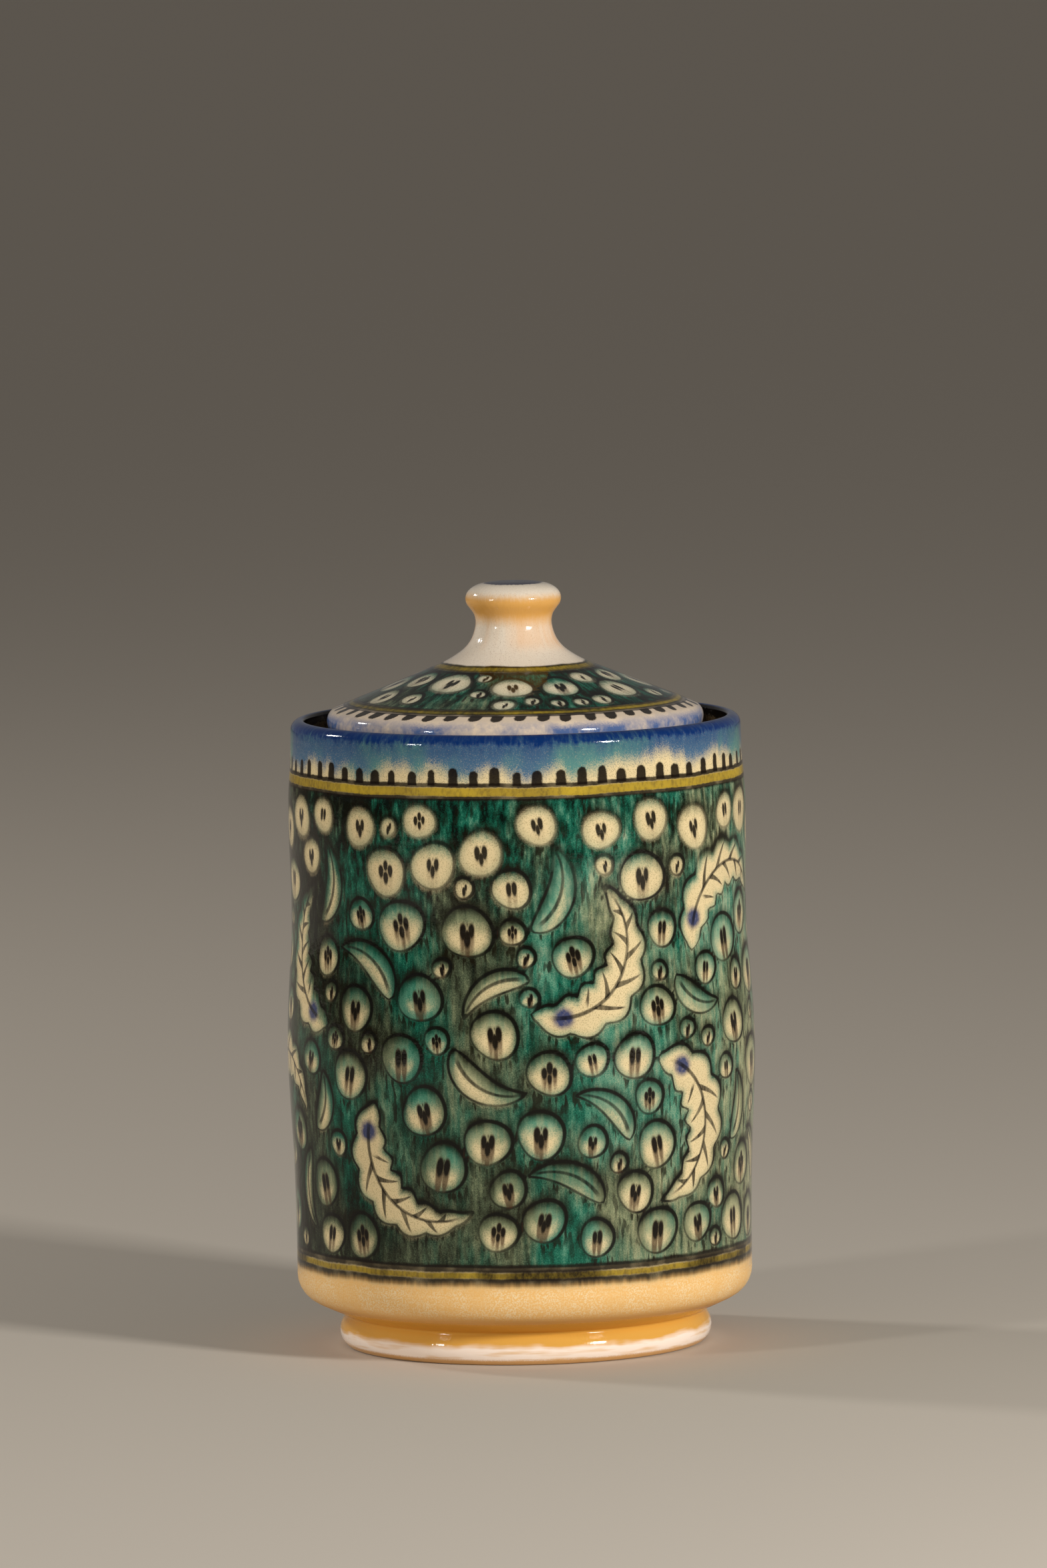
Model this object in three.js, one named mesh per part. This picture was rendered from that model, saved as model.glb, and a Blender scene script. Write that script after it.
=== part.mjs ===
// A lidded pottery jar: a wheel-thrown cylinder on a turned foot ring, closed by an inset lid with a knob.
// The lid rests on a gallery, a ledge inside the mouth, and its locating flange drops into the throat below.
// Millimetres, +Z up. The origin is on the table, on the jar's axis.

import * as THREE from "three";

// Foot ring, turned from the same clay as the jar
const FOOT_RADIUS = 50;
const FOOT_HEIGHT = 8.4;
const FOOT_EDGE_ROUND = 2; // how far the rounded lower edge draws in to the flat that stands on the table
const FOOT_EDGE_HEIGHT = 3.8;
const FOOT_WAIST = 1.2; // how far its rounded side draws in where it meets the body
const FOOT_RING_WIDTH = 8; // flat of the ring, across
const RECESS_DEPTH = 5; // hollow turned out of the underside
const RECESS_DRAFT = 2; // slope of the ring's inner side

// Body wall
const HEEL_RADIUS = 61.2;
const HEEL_ROUND = 8; // rounding between underside and wall
const UNDERSIDE_ANGLE = THREE.MathUtils.degToRad(26);
const BELLY_RADIUS = 62.9;
const BELLY_HEIGHT = 79;
const WAIST_RADIUS = 61;
const WAIST_BELOW_RIM = 49;
const COLLAR_RADIUS = 61.3;
const COLLAR_BELOW_RIM = 27;
const RIM_RADIUS = 60.3;
const RIM_HEIGHT = 169;
const RIM_THICKNESS = 3.8;
const LIP_OUTER_ROUND = 2.8; // the inner edge takes what is left of the rim's thickness
const WALL = 5;
const FLOOR_THICKNESS = 7;
const INNER_HEEL_ROUND = 10;

// Gallery, the ledge that carries the lid
const GALLERY_DEPTH = 7; // below the rim
const GALLERY_WIDTH = 12; // inwards from the rim's inner face
const GALLERY_THICKNESS = 4; // at the throat
const GALLERY_DROP = 9; // further fall of its underside to the wall
const GALLERY_FILLET = 1.5;
const THROAT_ROUND = 0.8;

// Lid
const SEAT_GAP = 0.3; // between the gallery and the lid's bearing face
const LID_SIDE_GAP = 5.9; // between the lid's edge and the rim's inner face
const LID_EDGE_RISE = 6.2; // from the bearing face to the widest point
const LID_EDGE_TAPER = 1.4; // how far the edge draws in at the bearing face
const LID_EDGE_ROUND = 3.5;
const CONE_ANGLE = THREE.MathUtils.degToRad(22);
const LID_WALL = 5.5;
const FLANGE_CLEARANCE = 0.8; // between the flange and the throat
const FLANGE_DEPTH = 8;
const FLANGE_WALL = 4;
const FLANGE_ROUND = 1.2;
const FLANGE_FILLET = 3;

// Knob, drawn up from the lid's own clay
const KNOB_FOOT_RADIUS = 20;
const KNOB_NECK_RADIUS = 10.2;
const KNOB_NECK_RISE = 12.1; // from the knob's foot to the narrowest point
const KNOB_HEAD_RADIUS = 12.85;
const KNOB_HEAD_RISE = 5.3; // from the neck to the widest point of the head
const KNOB_TOP_RISE = 4.6; // from there to the top
const KNOB_TOP_FLAT = 9.5; // radius where the top turns over
const FLARE_PULL = 0.66; // share of the flare that still leans to the cone's slope
const HEAD_PULL = 0.6; // share of the top's rise that still leans to the head's upright side

// Faceting
const SEGMENTS = 60;
const ARC_STEP = THREE.MathUtils.degToRad(30);
const CURVE_STEP = 9;
const SOFT_CURVE_STEPS = 5;

// Shared places
const rimInnerRadius = RIM_RADIUS - RIM_THICKNESS;
const galleryHeight = RIM_HEIGHT - GALLERY_DEPTH;
const throatRadius = rimInnerRadius - GALLERY_WIDTH;
const floorHeight = RECESS_DEPTH + FLOOR_THICKNESS;

// Steps that a stretch of outline needs: one for a line, a fixed angle on arcs, a fixed length on the wall.
function stepsOn(curve) {
  if (curve.isLineCurve) return 1;
  if (curve.isEllipseCurve) {
    const sweep = Math.abs(curve.aEndAngle - curve.aStartAngle);
    return Math.max(2, Math.ceil(sweep / ARC_STEP));
  }
  if (curve.isCubicBezierCurve) return SOFT_CURVE_STEPS;
  return Math.max(2, Math.ceil(curve.getLength() / CURVE_STEP));
}

// An outline's corner points, from the axis round to the axis again.
function outlinePoints(path) {
  const points = [path.curves[0].getPoint(0)];
  for (const curve of path.curves) {
    const steps = stepsOn(curve);
    for (let i = 1; i <= steps; i++) {
      points.push(curve.getPoint(i / steps));
    }
  }
  return points.filter((p, i) => i === 0 || p.distanceTo(points[i - 1]) > 1e-6);
}

// A piece thrown on the wheel: its outline, as radius and height, turned about the Z axis.
function thrown(name, path, material) {
  const geometry = new THREE.LatheGeometry(outlinePoints(path), SEGMENTS);
  geometry.rotateX(Math.PI / 2);
  const mesh = new THREE.Mesh(geometry, material);
  mesh.name = name;
  return mesh;
}

// The jar's outer wall from heel to rim, with the slow swell and waist of hand throwing.
function outerWall(heelHeight) {
  return new THREE.SplineCurve([
    new THREE.Vector2(HEEL_RADIUS, heelHeight),
    new THREE.Vector2(BELLY_RADIUS, BELLY_HEIGHT),
    new THREE.Vector2(WAIST_RADIUS, RIM_HEIGHT - WAIST_BELOW_RIM),
    new THREE.Vector2(COLLAR_RADIUS, RIM_HEIGHT - COLLAR_BELOW_RIM),
    new THREE.Vector2(RIM_RADIUS, RIM_HEIGHT - LIP_OUTER_ROUND),
  ]);
}

// Radius of a rising wall curve at a height, by halving the stretch that holds it.
function radiusAt(wall, height) {
  let low = 0;
  let high = 1;
  for (let i = 0; i < 40; i++) {
    const middle = (low + high) / 2;
    if (wall.getPoint(middle).y < height) low = middle;
    else high = middle;
  }
  return wall.getPoint(low).x;
}

// Outline of the jar: recess, foot ring, heel, wall, lip, gallery, then down the inside to the floor.
function jarOutline() {
  const path = new THREE.Path();
  const contactRadius = FOOT_RADIUS - FOOT_EDGE_ROUND;
  const ringInner = contactRadius - FOOT_RING_WIDTH;
  const footTop = FOOT_RADIUS - FOOT_WAIST;

  path.moveTo(0, RECESS_DEPTH);
  path.lineTo(ringInner - RECESS_DRAFT, RECESS_DEPTH);
  path.lineTo(ringInner, 0);
  path.lineTo(contactRadius, 0);
  const down = -Math.PI / 2;
  path.absellipse(contactRadius, FOOT_EDGE_HEIGHT, FOOT_EDGE_ROUND, FOOT_EDGE_HEIGHT, down, 0, false, 0);
  path.quadraticCurveTo(FOOT_RADIUS, (FOOT_EDGE_HEIGHT + FOOT_HEIGHT) / 2, footTop, FOOT_HEIGHT);

  // The underside slopes out from the foot and turns up into the wall.
  const heelCentre = HEEL_RADIUS - HEEL_ROUND;
  const slopeEnd = heelCentre + HEEL_ROUND * Math.sin(UNDERSIDE_ANGLE);
  const slopeRise = (slopeEnd - footTop) * Math.tan(UNDERSIDE_ANGLE);
  const heelHeight = FOOT_HEIGHT + slopeRise + HEEL_ROUND * Math.cos(UNDERSIDE_ANGLE);
  path.absarc(heelCentre, heelHeight, HEEL_ROUND, UNDERSIDE_ANGLE - Math.PI / 2, 0, false);
  const wall = outerWall(heelHeight);
  path.curves.push(wall);
  path.currentPoint.copy(wall.getPoint(1));

  // A lip that is rounder outside than inside, then the rim's inner face down to the gallery.
  const innerRound = RIM_THICKNESS - LIP_OUTER_ROUND;
  const lipCentre = RIM_RADIUS - LIP_OUTER_ROUND;
  path.absarc(lipCentre, RIM_HEIGHT - LIP_OUTER_ROUND, LIP_OUTER_ROUND, 0, Math.PI / 2, false);
  path.absarc(lipCentre, RIM_HEIGHT - innerRound, innerRound, Math.PI / 2, Math.PI, false);
  const filletCentre = rimInnerRadius - GALLERY_FILLET;
  path.absarc(filletCentre, galleryHeight + GALLERY_FILLET, GALLERY_FILLET, 0, -Math.PI / 2, true);
  const edgeCentre = throatRadius + THROAT_ROUND;
  path.absarc(edgeCentre, galleryHeight - THROAT_ROUND, THROAT_ROUND, Math.PI / 2, Math.PI, false);
  path.lineTo(throatRadius, galleryHeight - GALLERY_THICKNESS);

  // Under the gallery, the inside keeps one wall thickness from the outside.
  const innerTop = galleryHeight - GALLERY_THICKNESS - GALLERY_DROP;
  const innerBottom = floorHeight + INNER_HEEL_ROUND;
  const steps = Math.ceil((innerTop - innerBottom) / CURVE_STEP);
  for (let i = 0; i <= steps; i++) {
    const height = THREE.MathUtils.lerp(innerTop, innerBottom, i / steps);
    path.lineTo(radiusAt(wall, height) - WALL, height);
  }
  const floorRound = path.currentPoint.x - INNER_HEEL_ROUND;
  path.absarc(floorRound, innerBottom, INNER_HEEL_ROUND, 0, -Math.PI / 2, true);
  path.lineTo(0, floorHeight);
  return path;
}

// Outline of the lid: hollow underside, locating flange, bearing face, edge, cone and knob.
function lidOutline() {
  const path = new THREE.Path();
  const bearing = galleryHeight + SEAT_GAP;
  const edgeRadius = rimInnerRadius - LID_SIDE_GAP;
  const flangeOuter = throatRadius - FLANGE_CLEARANCE;
  const flangeInner = flangeOuter - FLANGE_WALL;
  const flangeFoot = bearing - FLANGE_DEPTH;

  // The cone leaves the rounded edge at its own slope.
  const edgeCentre = edgeRadius - LID_EDGE_ROUND;
  const edgeHeight = bearing + LID_EDGE_RISE;
  const turn = Math.PI / 2 - CONE_ANGLE;
  const coneStart = edgeCentre + LID_EDGE_ROUND * Math.cos(turn);
  const coneHeight = edgeHeight + LID_EDGE_ROUND * Math.sin(turn);
  const slope = Math.tan(CONE_ANGLE);
  const outside = (radius) => coneHeight + (coneStart - radius) * slope;
  const inside = (radius) => outside(radius) - LID_WALL / Math.cos(CONE_ANGLE);

  path.moveTo(0, inside(KNOB_NECK_RADIUS));
  path.lineTo(KNOB_NECK_RADIUS, inside(KNOB_NECK_RADIUS));
  const filletTop = flangeInner - FLANGE_FILLET;
  path.lineTo(filletTop, inside(filletTop));
  path.lineTo(flangeInner, inside(flangeInner) - FLANGE_FILLET);
  const flangeRoundHeight = flangeFoot + FLANGE_ROUND;
  path.absarc(flangeInner + FLANGE_ROUND, flangeRoundHeight, FLANGE_ROUND, Math.PI, 1.5 * Math.PI, false);
  path.absarc(flangeOuter - FLANGE_ROUND, flangeRoundHeight, FLANGE_ROUND, -Math.PI / 2, 0, false);
  path.lineTo(flangeOuter, bearing);
  path.lineTo(edgeRadius - LID_EDGE_TAPER, bearing);
  path.absarc(edgeCentre, edgeHeight, LID_EDGE_ROUND, 0, turn, false);

  // The knob flares out of the cone, narrows to a neck and swells into a rounded head.
  const footHeight = outside(KNOB_FOOT_RADIUS);
  const flare = KNOB_FOOT_RADIUS - KNOB_NECK_RADIUS;
  const neckHeight = footHeight + KNOB_NECK_RISE;
  const headHeight = neckHeight + KNOB_HEAD_RISE;
  const top = headHeight + KNOB_TOP_RISE;
  path.lineTo(KNOB_FOOT_RADIUS, footHeight);
  path.bezierCurveTo(
    KNOB_FOOT_RADIUS - FLARE_PULL * flare, footHeight + FLARE_PULL * flare * slope,
    KNOB_NECK_RADIUS, neckHeight - KNOB_NECK_RISE / 2,
    KNOB_NECK_RADIUS, neckHeight,
  );
  path.bezierCurveTo(
    KNOB_NECK_RADIUS, neckHeight + KNOB_HEAD_RISE / 2,
    KNOB_HEAD_RADIUS, headHeight - KNOB_HEAD_RISE / 2,
    KNOB_HEAD_RADIUS, headHeight,
  );
  path.bezierCurveTo(
    KNOB_HEAD_RADIUS, headHeight + HEAD_PULL * KNOB_TOP_RISE,
    KNOB_TOP_FLAT, top,
    0, top,
  );
  return path;
}

const paintedGlaze = new THREE.MeshStandardMaterial({ color: 0x2f6a58, roughness: 0.15, metalness: 0 });
const paintedLidGlaze = new THREE.MeshStandardMaterial({ color: 0x567a6c, roughness: 0.15, metalness: 0 });

const jar = new THREE.Group();
jar.add(thrown("jar_body", jarOutline(), paintedGlaze));
jar.add(thrown("lid", lidOutline(), paintedLidGlaze));

export default jar;
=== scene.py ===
# %% [markdown]
# # A painted pottery jar with its lid
#
# The jar is wheel-thrown clay in two pieces: the jar, which stands on a turned foot ring, and a lid that
# drops onto a ledge inside the mouth. This lesson turns both as surfaces with numpy, lays out the painted
# decoration as numbers on those surfaces, and mixes the glaze from shader nodes that read the numbers.

import bpy
import numpy as np
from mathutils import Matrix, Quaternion, Vector


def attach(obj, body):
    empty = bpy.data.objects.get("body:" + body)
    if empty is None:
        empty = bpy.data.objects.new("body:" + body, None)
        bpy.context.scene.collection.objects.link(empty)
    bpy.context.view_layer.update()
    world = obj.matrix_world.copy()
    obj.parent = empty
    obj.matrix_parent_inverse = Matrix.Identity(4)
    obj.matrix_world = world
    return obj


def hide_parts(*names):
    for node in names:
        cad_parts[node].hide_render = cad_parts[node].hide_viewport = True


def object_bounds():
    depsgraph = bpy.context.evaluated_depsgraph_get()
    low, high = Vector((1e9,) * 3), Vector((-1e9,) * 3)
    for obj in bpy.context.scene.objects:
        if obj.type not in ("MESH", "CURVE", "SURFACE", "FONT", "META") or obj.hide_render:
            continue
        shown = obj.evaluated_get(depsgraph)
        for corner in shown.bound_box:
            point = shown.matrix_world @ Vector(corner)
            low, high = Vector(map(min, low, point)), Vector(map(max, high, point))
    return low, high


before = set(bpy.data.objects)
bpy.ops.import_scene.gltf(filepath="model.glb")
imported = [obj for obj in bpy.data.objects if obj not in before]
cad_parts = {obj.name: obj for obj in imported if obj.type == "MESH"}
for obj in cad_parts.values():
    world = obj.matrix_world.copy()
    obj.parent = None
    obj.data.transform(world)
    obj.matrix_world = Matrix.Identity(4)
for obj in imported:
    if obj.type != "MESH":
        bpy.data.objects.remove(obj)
cad_low, cad_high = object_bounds()
MM = 0.001
print("measured box in mm:", [round(x / MM, 1) for x in (*cad_low, *cad_high)])

# %% [markdown]
# ## The camera
#
# The photograph looks down a few degrees with a long lens from over three metres away, so the rings of
# the jar show as flat ellipses that open only slowly towards the foot. A close wide lens would give other
# ellipses, so the distance is set first and the lens follows from the jar's width in the picture. The
# picture is a little tilted too, and the camera rolls with it.

# %% Camera
LENS = 275.0  # mm
SENSOR = 36.0  # mm along the picture's long side
EYE = Vector((0.0, -3.2, 0.456))
AIM = Vector((0.0019, 0.0, 0.1505))
ROLL = np.radians(1.0)

scene = bpy.context.scene
scene.view_settings.view_transform = "Standard"
lens = bpy.data.cameras.new("camera")
lens.lens = LENS
lens.sensor_width = SENSOR
camera = bpy.data.objects.new("camera", lens)
scene.collection.objects.link(camera)
scene.camera = camera
camera.location = EYE
camera.rotation_mode = "QUATERNION"
camera.rotation_quaternion = (AIM - EYE).to_track_quat("-Z", "Y") @ Quaternion((0, 0, 1), -ROLL)
print("camera looks down by", round(np.degrees(np.arctan2(EYE.z - AIM.z, -EYE.y)), 2), "degrees")

# %% [markdown]
# ## Floor and light
#
# A wet-looking glaze shows its lamps as small bright marks. The photograph has three: one to the right,
# one to the left of the camera and one far round to the left. Three small soft boxes at those bearings
# give the same marks, the right one as the main light, and an even surround fills the shadows, as in a
# plain studio.

# %% Stage
FLOOR_COLOUR = (0.57, 0.5, 0.41, 1)
FLOOR_HALF_WIDTH = 30.0
FLOOR_ROUGHNESS = 0.85
SURROUND = (0.17, 0.165, 0.16, 1)

floor_mesh = bpy.data.meshes.new("floor")
side = np.array([-1, 1, 1, -1]) * FLOOR_HALF_WIDTH
ends = np.array([-1, -1, 1, 1]) * FLOOR_HALF_WIDTH
floor_mesh.from_pydata(np.c_[side, ends, np.zeros(4)], [], [(0, 1, 2, 3)])
floor = bpy.data.objects.new("floor", floor_mesh)
scene.collection.objects.link(floor)
floor_paint = bpy.data.materials.new("floor_paint")
floor_paint.use_nodes = True
floor_shader = floor_paint.node_tree.nodes["Principled BSDF"]
floor_shader.inputs["Base Color"].default_value = FLOOR_COLOUR
floor_shader.inputs["Roughness"].default_value = FLOOR_ROUGHNESS
floor_mesh.materials.append(floor_paint)

world = bpy.data.worlds.new("surround")
world.use_nodes = True
world.node_tree.nodes["Background"].inputs["Color"].default_value = SURROUND
scene.world = world


def soft_box(name, bearing, rise, distance, size, power):
    """A square lamp aimed at the middle of the jar: bearing is degrees to the right of the camera, rise
    is degrees above the table, distance and size are metres, power is watts."""
    a, e = np.radians(bearing), np.radians(rise)
    lamp = bpy.data.lights.new(name, "AREA")
    lamp.size = size
    lamp.energy = power
    holder = bpy.data.objects.new(name, lamp)
    towards = Vector((np.sin(a) * np.cos(e), -np.cos(a) * np.cos(e), np.sin(e)))
    middle = (cad_low + cad_high) / 2
    holder.location = middle + towards * distance
    holder.rotation_mode = "QUATERNION"
    holder.rotation_quaternion = (-towards).to_track_quat("-Z", "Y")
    scene.collection.objects.link(holder)
    print(name, "at", [round(x, 2) for x in holder.location], "m")


soft_box("lamp_right", bearing=46, rise=17, distance=1.35, size=0.18, power=15.3)
soft_box("lamp_front_left", bearing=-54, rise=13, distance=1.35, size=0.13, power=5.2)
soft_box("lamp_side_left", bearing=-118, rise=28, distance=2.0, size=0.2, power=10)

# %% [markdown]
# ## Turning a shape
#
# Everything here came off a wheel, so each piece is one outline turned about the upright axis. An outline
# is a list of (radius, height) points in millimetres. Straight-sided parts such as the foot are drawn as
# corners with a rounding each, and the wall, which a hand drew up, is a smooth line through a few
# stations.

# %% Outline helpers
ARC_STEP = 20.0  # degrees between points on a rounded corner


def rounded(corners):
    """A line through corners given as (radius, height, rounding). Each corner becomes a circle arc of its
    rounding that touches both sides; the arc starts rounding times the tangent of half the turn before
    it."""
    corners = np.array(corners, float)
    places, roundings = corners[:, :2], corners[:, 2]
    line = [places[0]]
    for before, corner, after, rounding in zip(places, places[1:], places[2:], roundings[1:]):
        way_in = (corner - before) / np.hypot(*(corner - before))
        way_out = (after - corner) / np.hypot(*(after - corner))
        turn = np.arctan2(way_in[0] * way_out[1] - way_in[1] * way_out[0], way_in @ way_out)
        inward = np.sign(turn) * np.array([-way_in[1], way_in[0]])
        centre = corner - rounding * np.tan(abs(turn) / 2) * way_in + rounding * inward
        angle = np.linspace(0, turn, int(np.ceil(np.degrees(abs(turn)) / ARC_STEP)) + 2)
        spoke = -rounding * inward
        across = np.array([-spoke[1], spoke[0]])
        line.extend(centre + np.outer(np.cos(angle), spoke) + np.outer(np.sin(angle), across))
    line.append(places[-1])
    return np.array(line)


def refined(line, longest):
    """The same line with more points: each stretch is cut into equal parts, none longer than longest."""
    lengths = np.hypot(*np.diff(line, axis=0).T)
    parts = np.maximum(1, np.ceil(lengths / longest)).astype(int)
    first = np.repeat(np.arange(len(parts)), parts)
    step = np.concatenate([np.arange(n) / n for n in parts])
    places = np.r_[first + step, len(parts)]
    corners = np.arange(len(line))
    return np.c_[np.interp(places, corners, line[:, 0]), np.interp(places, corners, line[:, 1])]


def smooth_through(stations, spacing):
    """A smooth line through stations: between two of them a cubic in the chord length, whose slope at
    each station is the mean slope of the stretches that meet there."""
    p = np.array(stations, float)
    chord = np.r_[0, np.cumsum(np.hypot(*np.diff(p, axis=0).T))]
    slope = np.gradient(p, chord, axis=0)
    t = np.linspace(0, chord[-1], int(chord[-1] / spacing) + 2)
    i = np.clip(np.searchsorted(chord, t, side="right") - 1, 0, len(chord) - 2)
    h = (chord[i + 1] - chord[i])[:, None]
    s = (t - chord[i])[:, None] / h
    start = (1 + 2 * s) * (1 - s) ** 2 * p[i] + s * (1 - s) ** 2 * h * slope[i]
    return start + s**2 * (3 - 2 * s) * p[i + 1] + s**2 * (s - 1) * h * slope[i + 1]


# %% Turning helper
TURN = 2 * np.pi  # one full turn, in radians


def grid(line, columns):
    """An outline carried round the axis: the angle of each column, which is its share of a full turn, and
    the radius and height of each row, repeated for all columns."""
    radius, height = (np.repeat(line[:, k : k + 1], columns, 1) for k in (0, 1))
    return np.arange(columns) * TURN / columns, radius, height


def turned(name, radius, height, columns, share):
    """A closed turned mesh. radius and height are rows by columns, in mm; column k stands at the angle k
    of columns round the axis. The first and last row lie on the axis and shrink to one point each. Its
    flat map has the columns across and the rows up, each row taking its length times its share of the
    room."""
    angle = np.arange(columns) * TURN / columns
    rows = len(radius) - 2
    ring = np.stack([radius * np.cos(angle), radius * np.sin(angle), height], axis=-1) * MM
    points = np.vstack([ring[0, :1], ring[1:-1].reshape(-1, 3), ring[-1, :1]])
    here = np.arange(columns)
    after = (here + 1) % columns
    row = 1 + columns * np.arange(rows - 1)[:, None]
    quads = np.stack([row + here, row + after, row + columns + after, row + columns + here], axis=-1)
    last_row, last_point = 1 + columns * (rows - 1), 1 + columns * rows
    first_fan = np.c_[np.zeros(columns, int), 1 + after, 1 + here]
    last_fan = np.c_[np.full(columns, last_point), last_row + here, last_row + after]
    corners = np.r_[first_fan.ravel(), last_fan.ravel(), quads.ravel()].astype(np.int32)
    sizes = np.r_[np.full(2 * columns, 3), np.full(quads.size // 4, 4)]

    length = np.hypot(np.diff(radius[:, 0]), np.diff(height[:, 0])) * (share[1:] + share[:-1])
    v = np.r_[0, np.cumsum(length)] / length.sum()
    u = np.stack([here, here + 1, here + 1, here], axis=-1) / columns
    quad_u = np.broadcast_to(u, (rows - 1, columns, 4))
    quad_v = np.stack([v[1:-2], v[1:-2], v[2:-1], v[2:-1]], axis=-1)[:, None].repeat(columns, 1)
    fan_u = np.r_[np.c_[here + 0.5, here + 1, here], np.c_[here + 0.5, here, here + 1]] / columns
    fan_v = np.repeat([[v[0], v[1], v[1]], [v[-1], v[-2], v[-2]]], columns, axis=0)
    flat = np.c_[np.r_[fan_u.ravel(), quad_u.ravel()], np.r_[fan_v.ravel(), quad_v.ravel()]]

    mesh = bpy.data.meshes.new(name)
    mesh.vertices.add(len(points))
    mesh.vertices.foreach_set("co", points.ravel())
    mesh.loops.add(len(corners))
    mesh.loops.foreach_set("vertex_index", corners)
    mesh.polygons.add(len(sizes))
    mesh.polygons.foreach_set("loop_start", np.r_[0, np.cumsum(sizes)[:-1]].astype(np.int32))
    mesh.polygons.foreach_set("use_smooth", np.ones(len(sizes), bool))
    mesh.update(calc_edges=True)
    mesh.uv_layers.new(name="OFBake").data.foreach_set("uv", flat.astype(np.float32).ravel())
    piece = bpy.data.objects.new(name, mesh)
    scene.collection.objects.link(piece)
    print(name, "has", 2 * (len(sizes) - columns), "triangles")
    return piece


# %% Numbers on the points
def per_point(rows_by_columns):
    """Values on a turned grid in the order of its mesh's points: one for each axis point, all for the
    rest."""
    values = np.asarray(rows_by_columns, float)
    return np.r_[values[0, :1], values[1:-1].ravel(), values[-1, :1]]


def note(piece, name, values):
    """Stores values on the piece's points under a name: one to four numbers for each point."""
    values = np.asarray(values, np.float32)
    width = 1 if values.ndim == 1 else values.shape[1]
    kind = ("FLOAT", "FLOAT2", "FLOAT_VECTOR", "FLOAT_COLOR")[width - 1]
    field = ("value", "vector", "vector", "color")[width - 1]
    piece.data.attributes.new(name, kind, "POINT").data.foreach_set(field, values.ravel())


# %% [markdown]
# ## The jar's shape
#
# From the outside: a foot ring with a soft lower edge, a sloping underside that rounds up into the wall,
# a wall with a slow belly and waist, and a lip. Inside the lip a ledge carries the lid, and below it the
# inside follows the outside at one wall thickness, with the finger ridges that throwing leaves. A thrown
# pot is never quite round, so the wall also wanders by a fraction of a millimetre.

# %% Jar outline
WALL_SPACING = 1.1  # mm between rows on the painted wall
FOOT_SPACING, MOUTH_SPACING, FLOOR_SPACING = 6.0, 3.0, 10.0  # mm between rows at most
WALL = 5.0
RIM_HEIGHT = 169.0
RIM_RADIUS = 60.3
RIM_INSIDE = 56.5
LEDGE_HEIGHT = 162.0
THROAT_RADIUS = 44.5
FLOOR_HEIGHT = 12.0
HEEL_RADIUS = 61.2
HEEL_ROUND = 7.7
RECESS_DEPTH = 5.0
WALL_START = (HEEL_RADIUS, 19.6)
WALL_END = (RIM_RADIUS, 164.5)
INNER_TOP = (56.1, 144)  # where the ledge's underside has run out into the inner wall
INNER_FOOT = 22.0  # height where the inner wall starts to round into the floor
INNER_ROUND = 9.9
INNER_ROWS = 34
RIDGE_PITCH = 9.0
RIDGE_DEPTH = 0.25
# Corners are (radius, height, rounding) and stations (radius, height), all in mm.
FOOT_CORNERS = [
    (0, RECESS_DEPTH, 0), (38, RECESS_DEPTH, 2), (40, 0, 0.8), (48.2, 0, 1.5), (50.9, 3.6, 5),
    (48.3, 8.6, 0.7), (HEEL_RADIUS, 14.65, HEEL_ROUND), (*WALL_START, 0),
]
WALL_STATIONS = [
    WALL_START, (61.35, 36), (61.75, 52), (62.5, 67), (62.9, 79), (62.6, 90), (61.9, 101),
    (61.2, 110), (61.0, 120), (61.3, 138), (61.2, 149), (60.6, 157), WALL_END,
]
MOUTH_CORNERS = [
    (*WALL_END, 0), (RIM_RADIUS, RIM_HEIGHT, 2.8), (RIM_INSIDE, RIM_HEIGHT, 0.99),
    (RIM_INSIDE, LEDGE_HEIGHT, 1.5), (THROAT_RADIUS, LEDGE_HEIGHT, 0.8), (THROAT_RADIUS, 158, 1.2),
    (INNER_TOP[0], 149, 4), (*INNER_TOP, 0),
]

wall = smooth_through(WALL_STATIONS, WALL_SPACING)
inner_height = np.linspace(INNER_TOP[1], INNER_FOOT, INNER_ROWS)
inner_radius = np.interp(inner_height, wall[:, 1], wall[:, 0]) - WALL
inner_radius += RIDGE_DEPTH * np.sin(TURN * inner_height / RIDGE_PITCH)
inner_wall = np.c_[inner_radius, inner_height]
floor_corners = [(*inner_wall[-1], 0), (inner_radius[-1], FLOOR_HEIGHT, INNER_ROUND), (0, FLOOR_HEIGHT, 0)]
foot_line = refined(rounded(FOOT_CORNERS), FOOT_SPACING)
mouth_line = refined(rounded(MOUTH_CORNERS), MOUTH_SPACING)
floor_line = refined(rounded(floor_corners), FLOOR_SPACING)
jar_line = np.vstack([foot_line[:-1], wall[:-1], mouth_line[:-1], inner_wall[:-1], floor_line])
lip_row = int(np.argmax(jar_line[:, 1]))
print("jar outline:", len(jar_line), "points")

# %% Jar mesh
JAR_COLUMNS = 360
WANDER = 0.16  # mm
WANDER_WAVES = (1, 2, 3, 5)  # how often each wave goes up and down on its way round
WANDER_START, WANDER_FULL = 20.0, 80.0  # mm above the table, between which the wandering sets in
INSIDE_RADIUS, OUTSIDE_RADIUS = 44.4, 56.4  # mm; what lies further in than the first stays round
HEEL_ROWS = 8  # rows at the end of the foot's line that get as much room on the flat map as the wall
LIP_ROWS = 6  # rows past the lip's top that get as much
PLAIN_SHARE = 0.35  # room on the flat map for what isn't painted, against 1 for what is

rng = np.random.default_rng(11)


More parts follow.
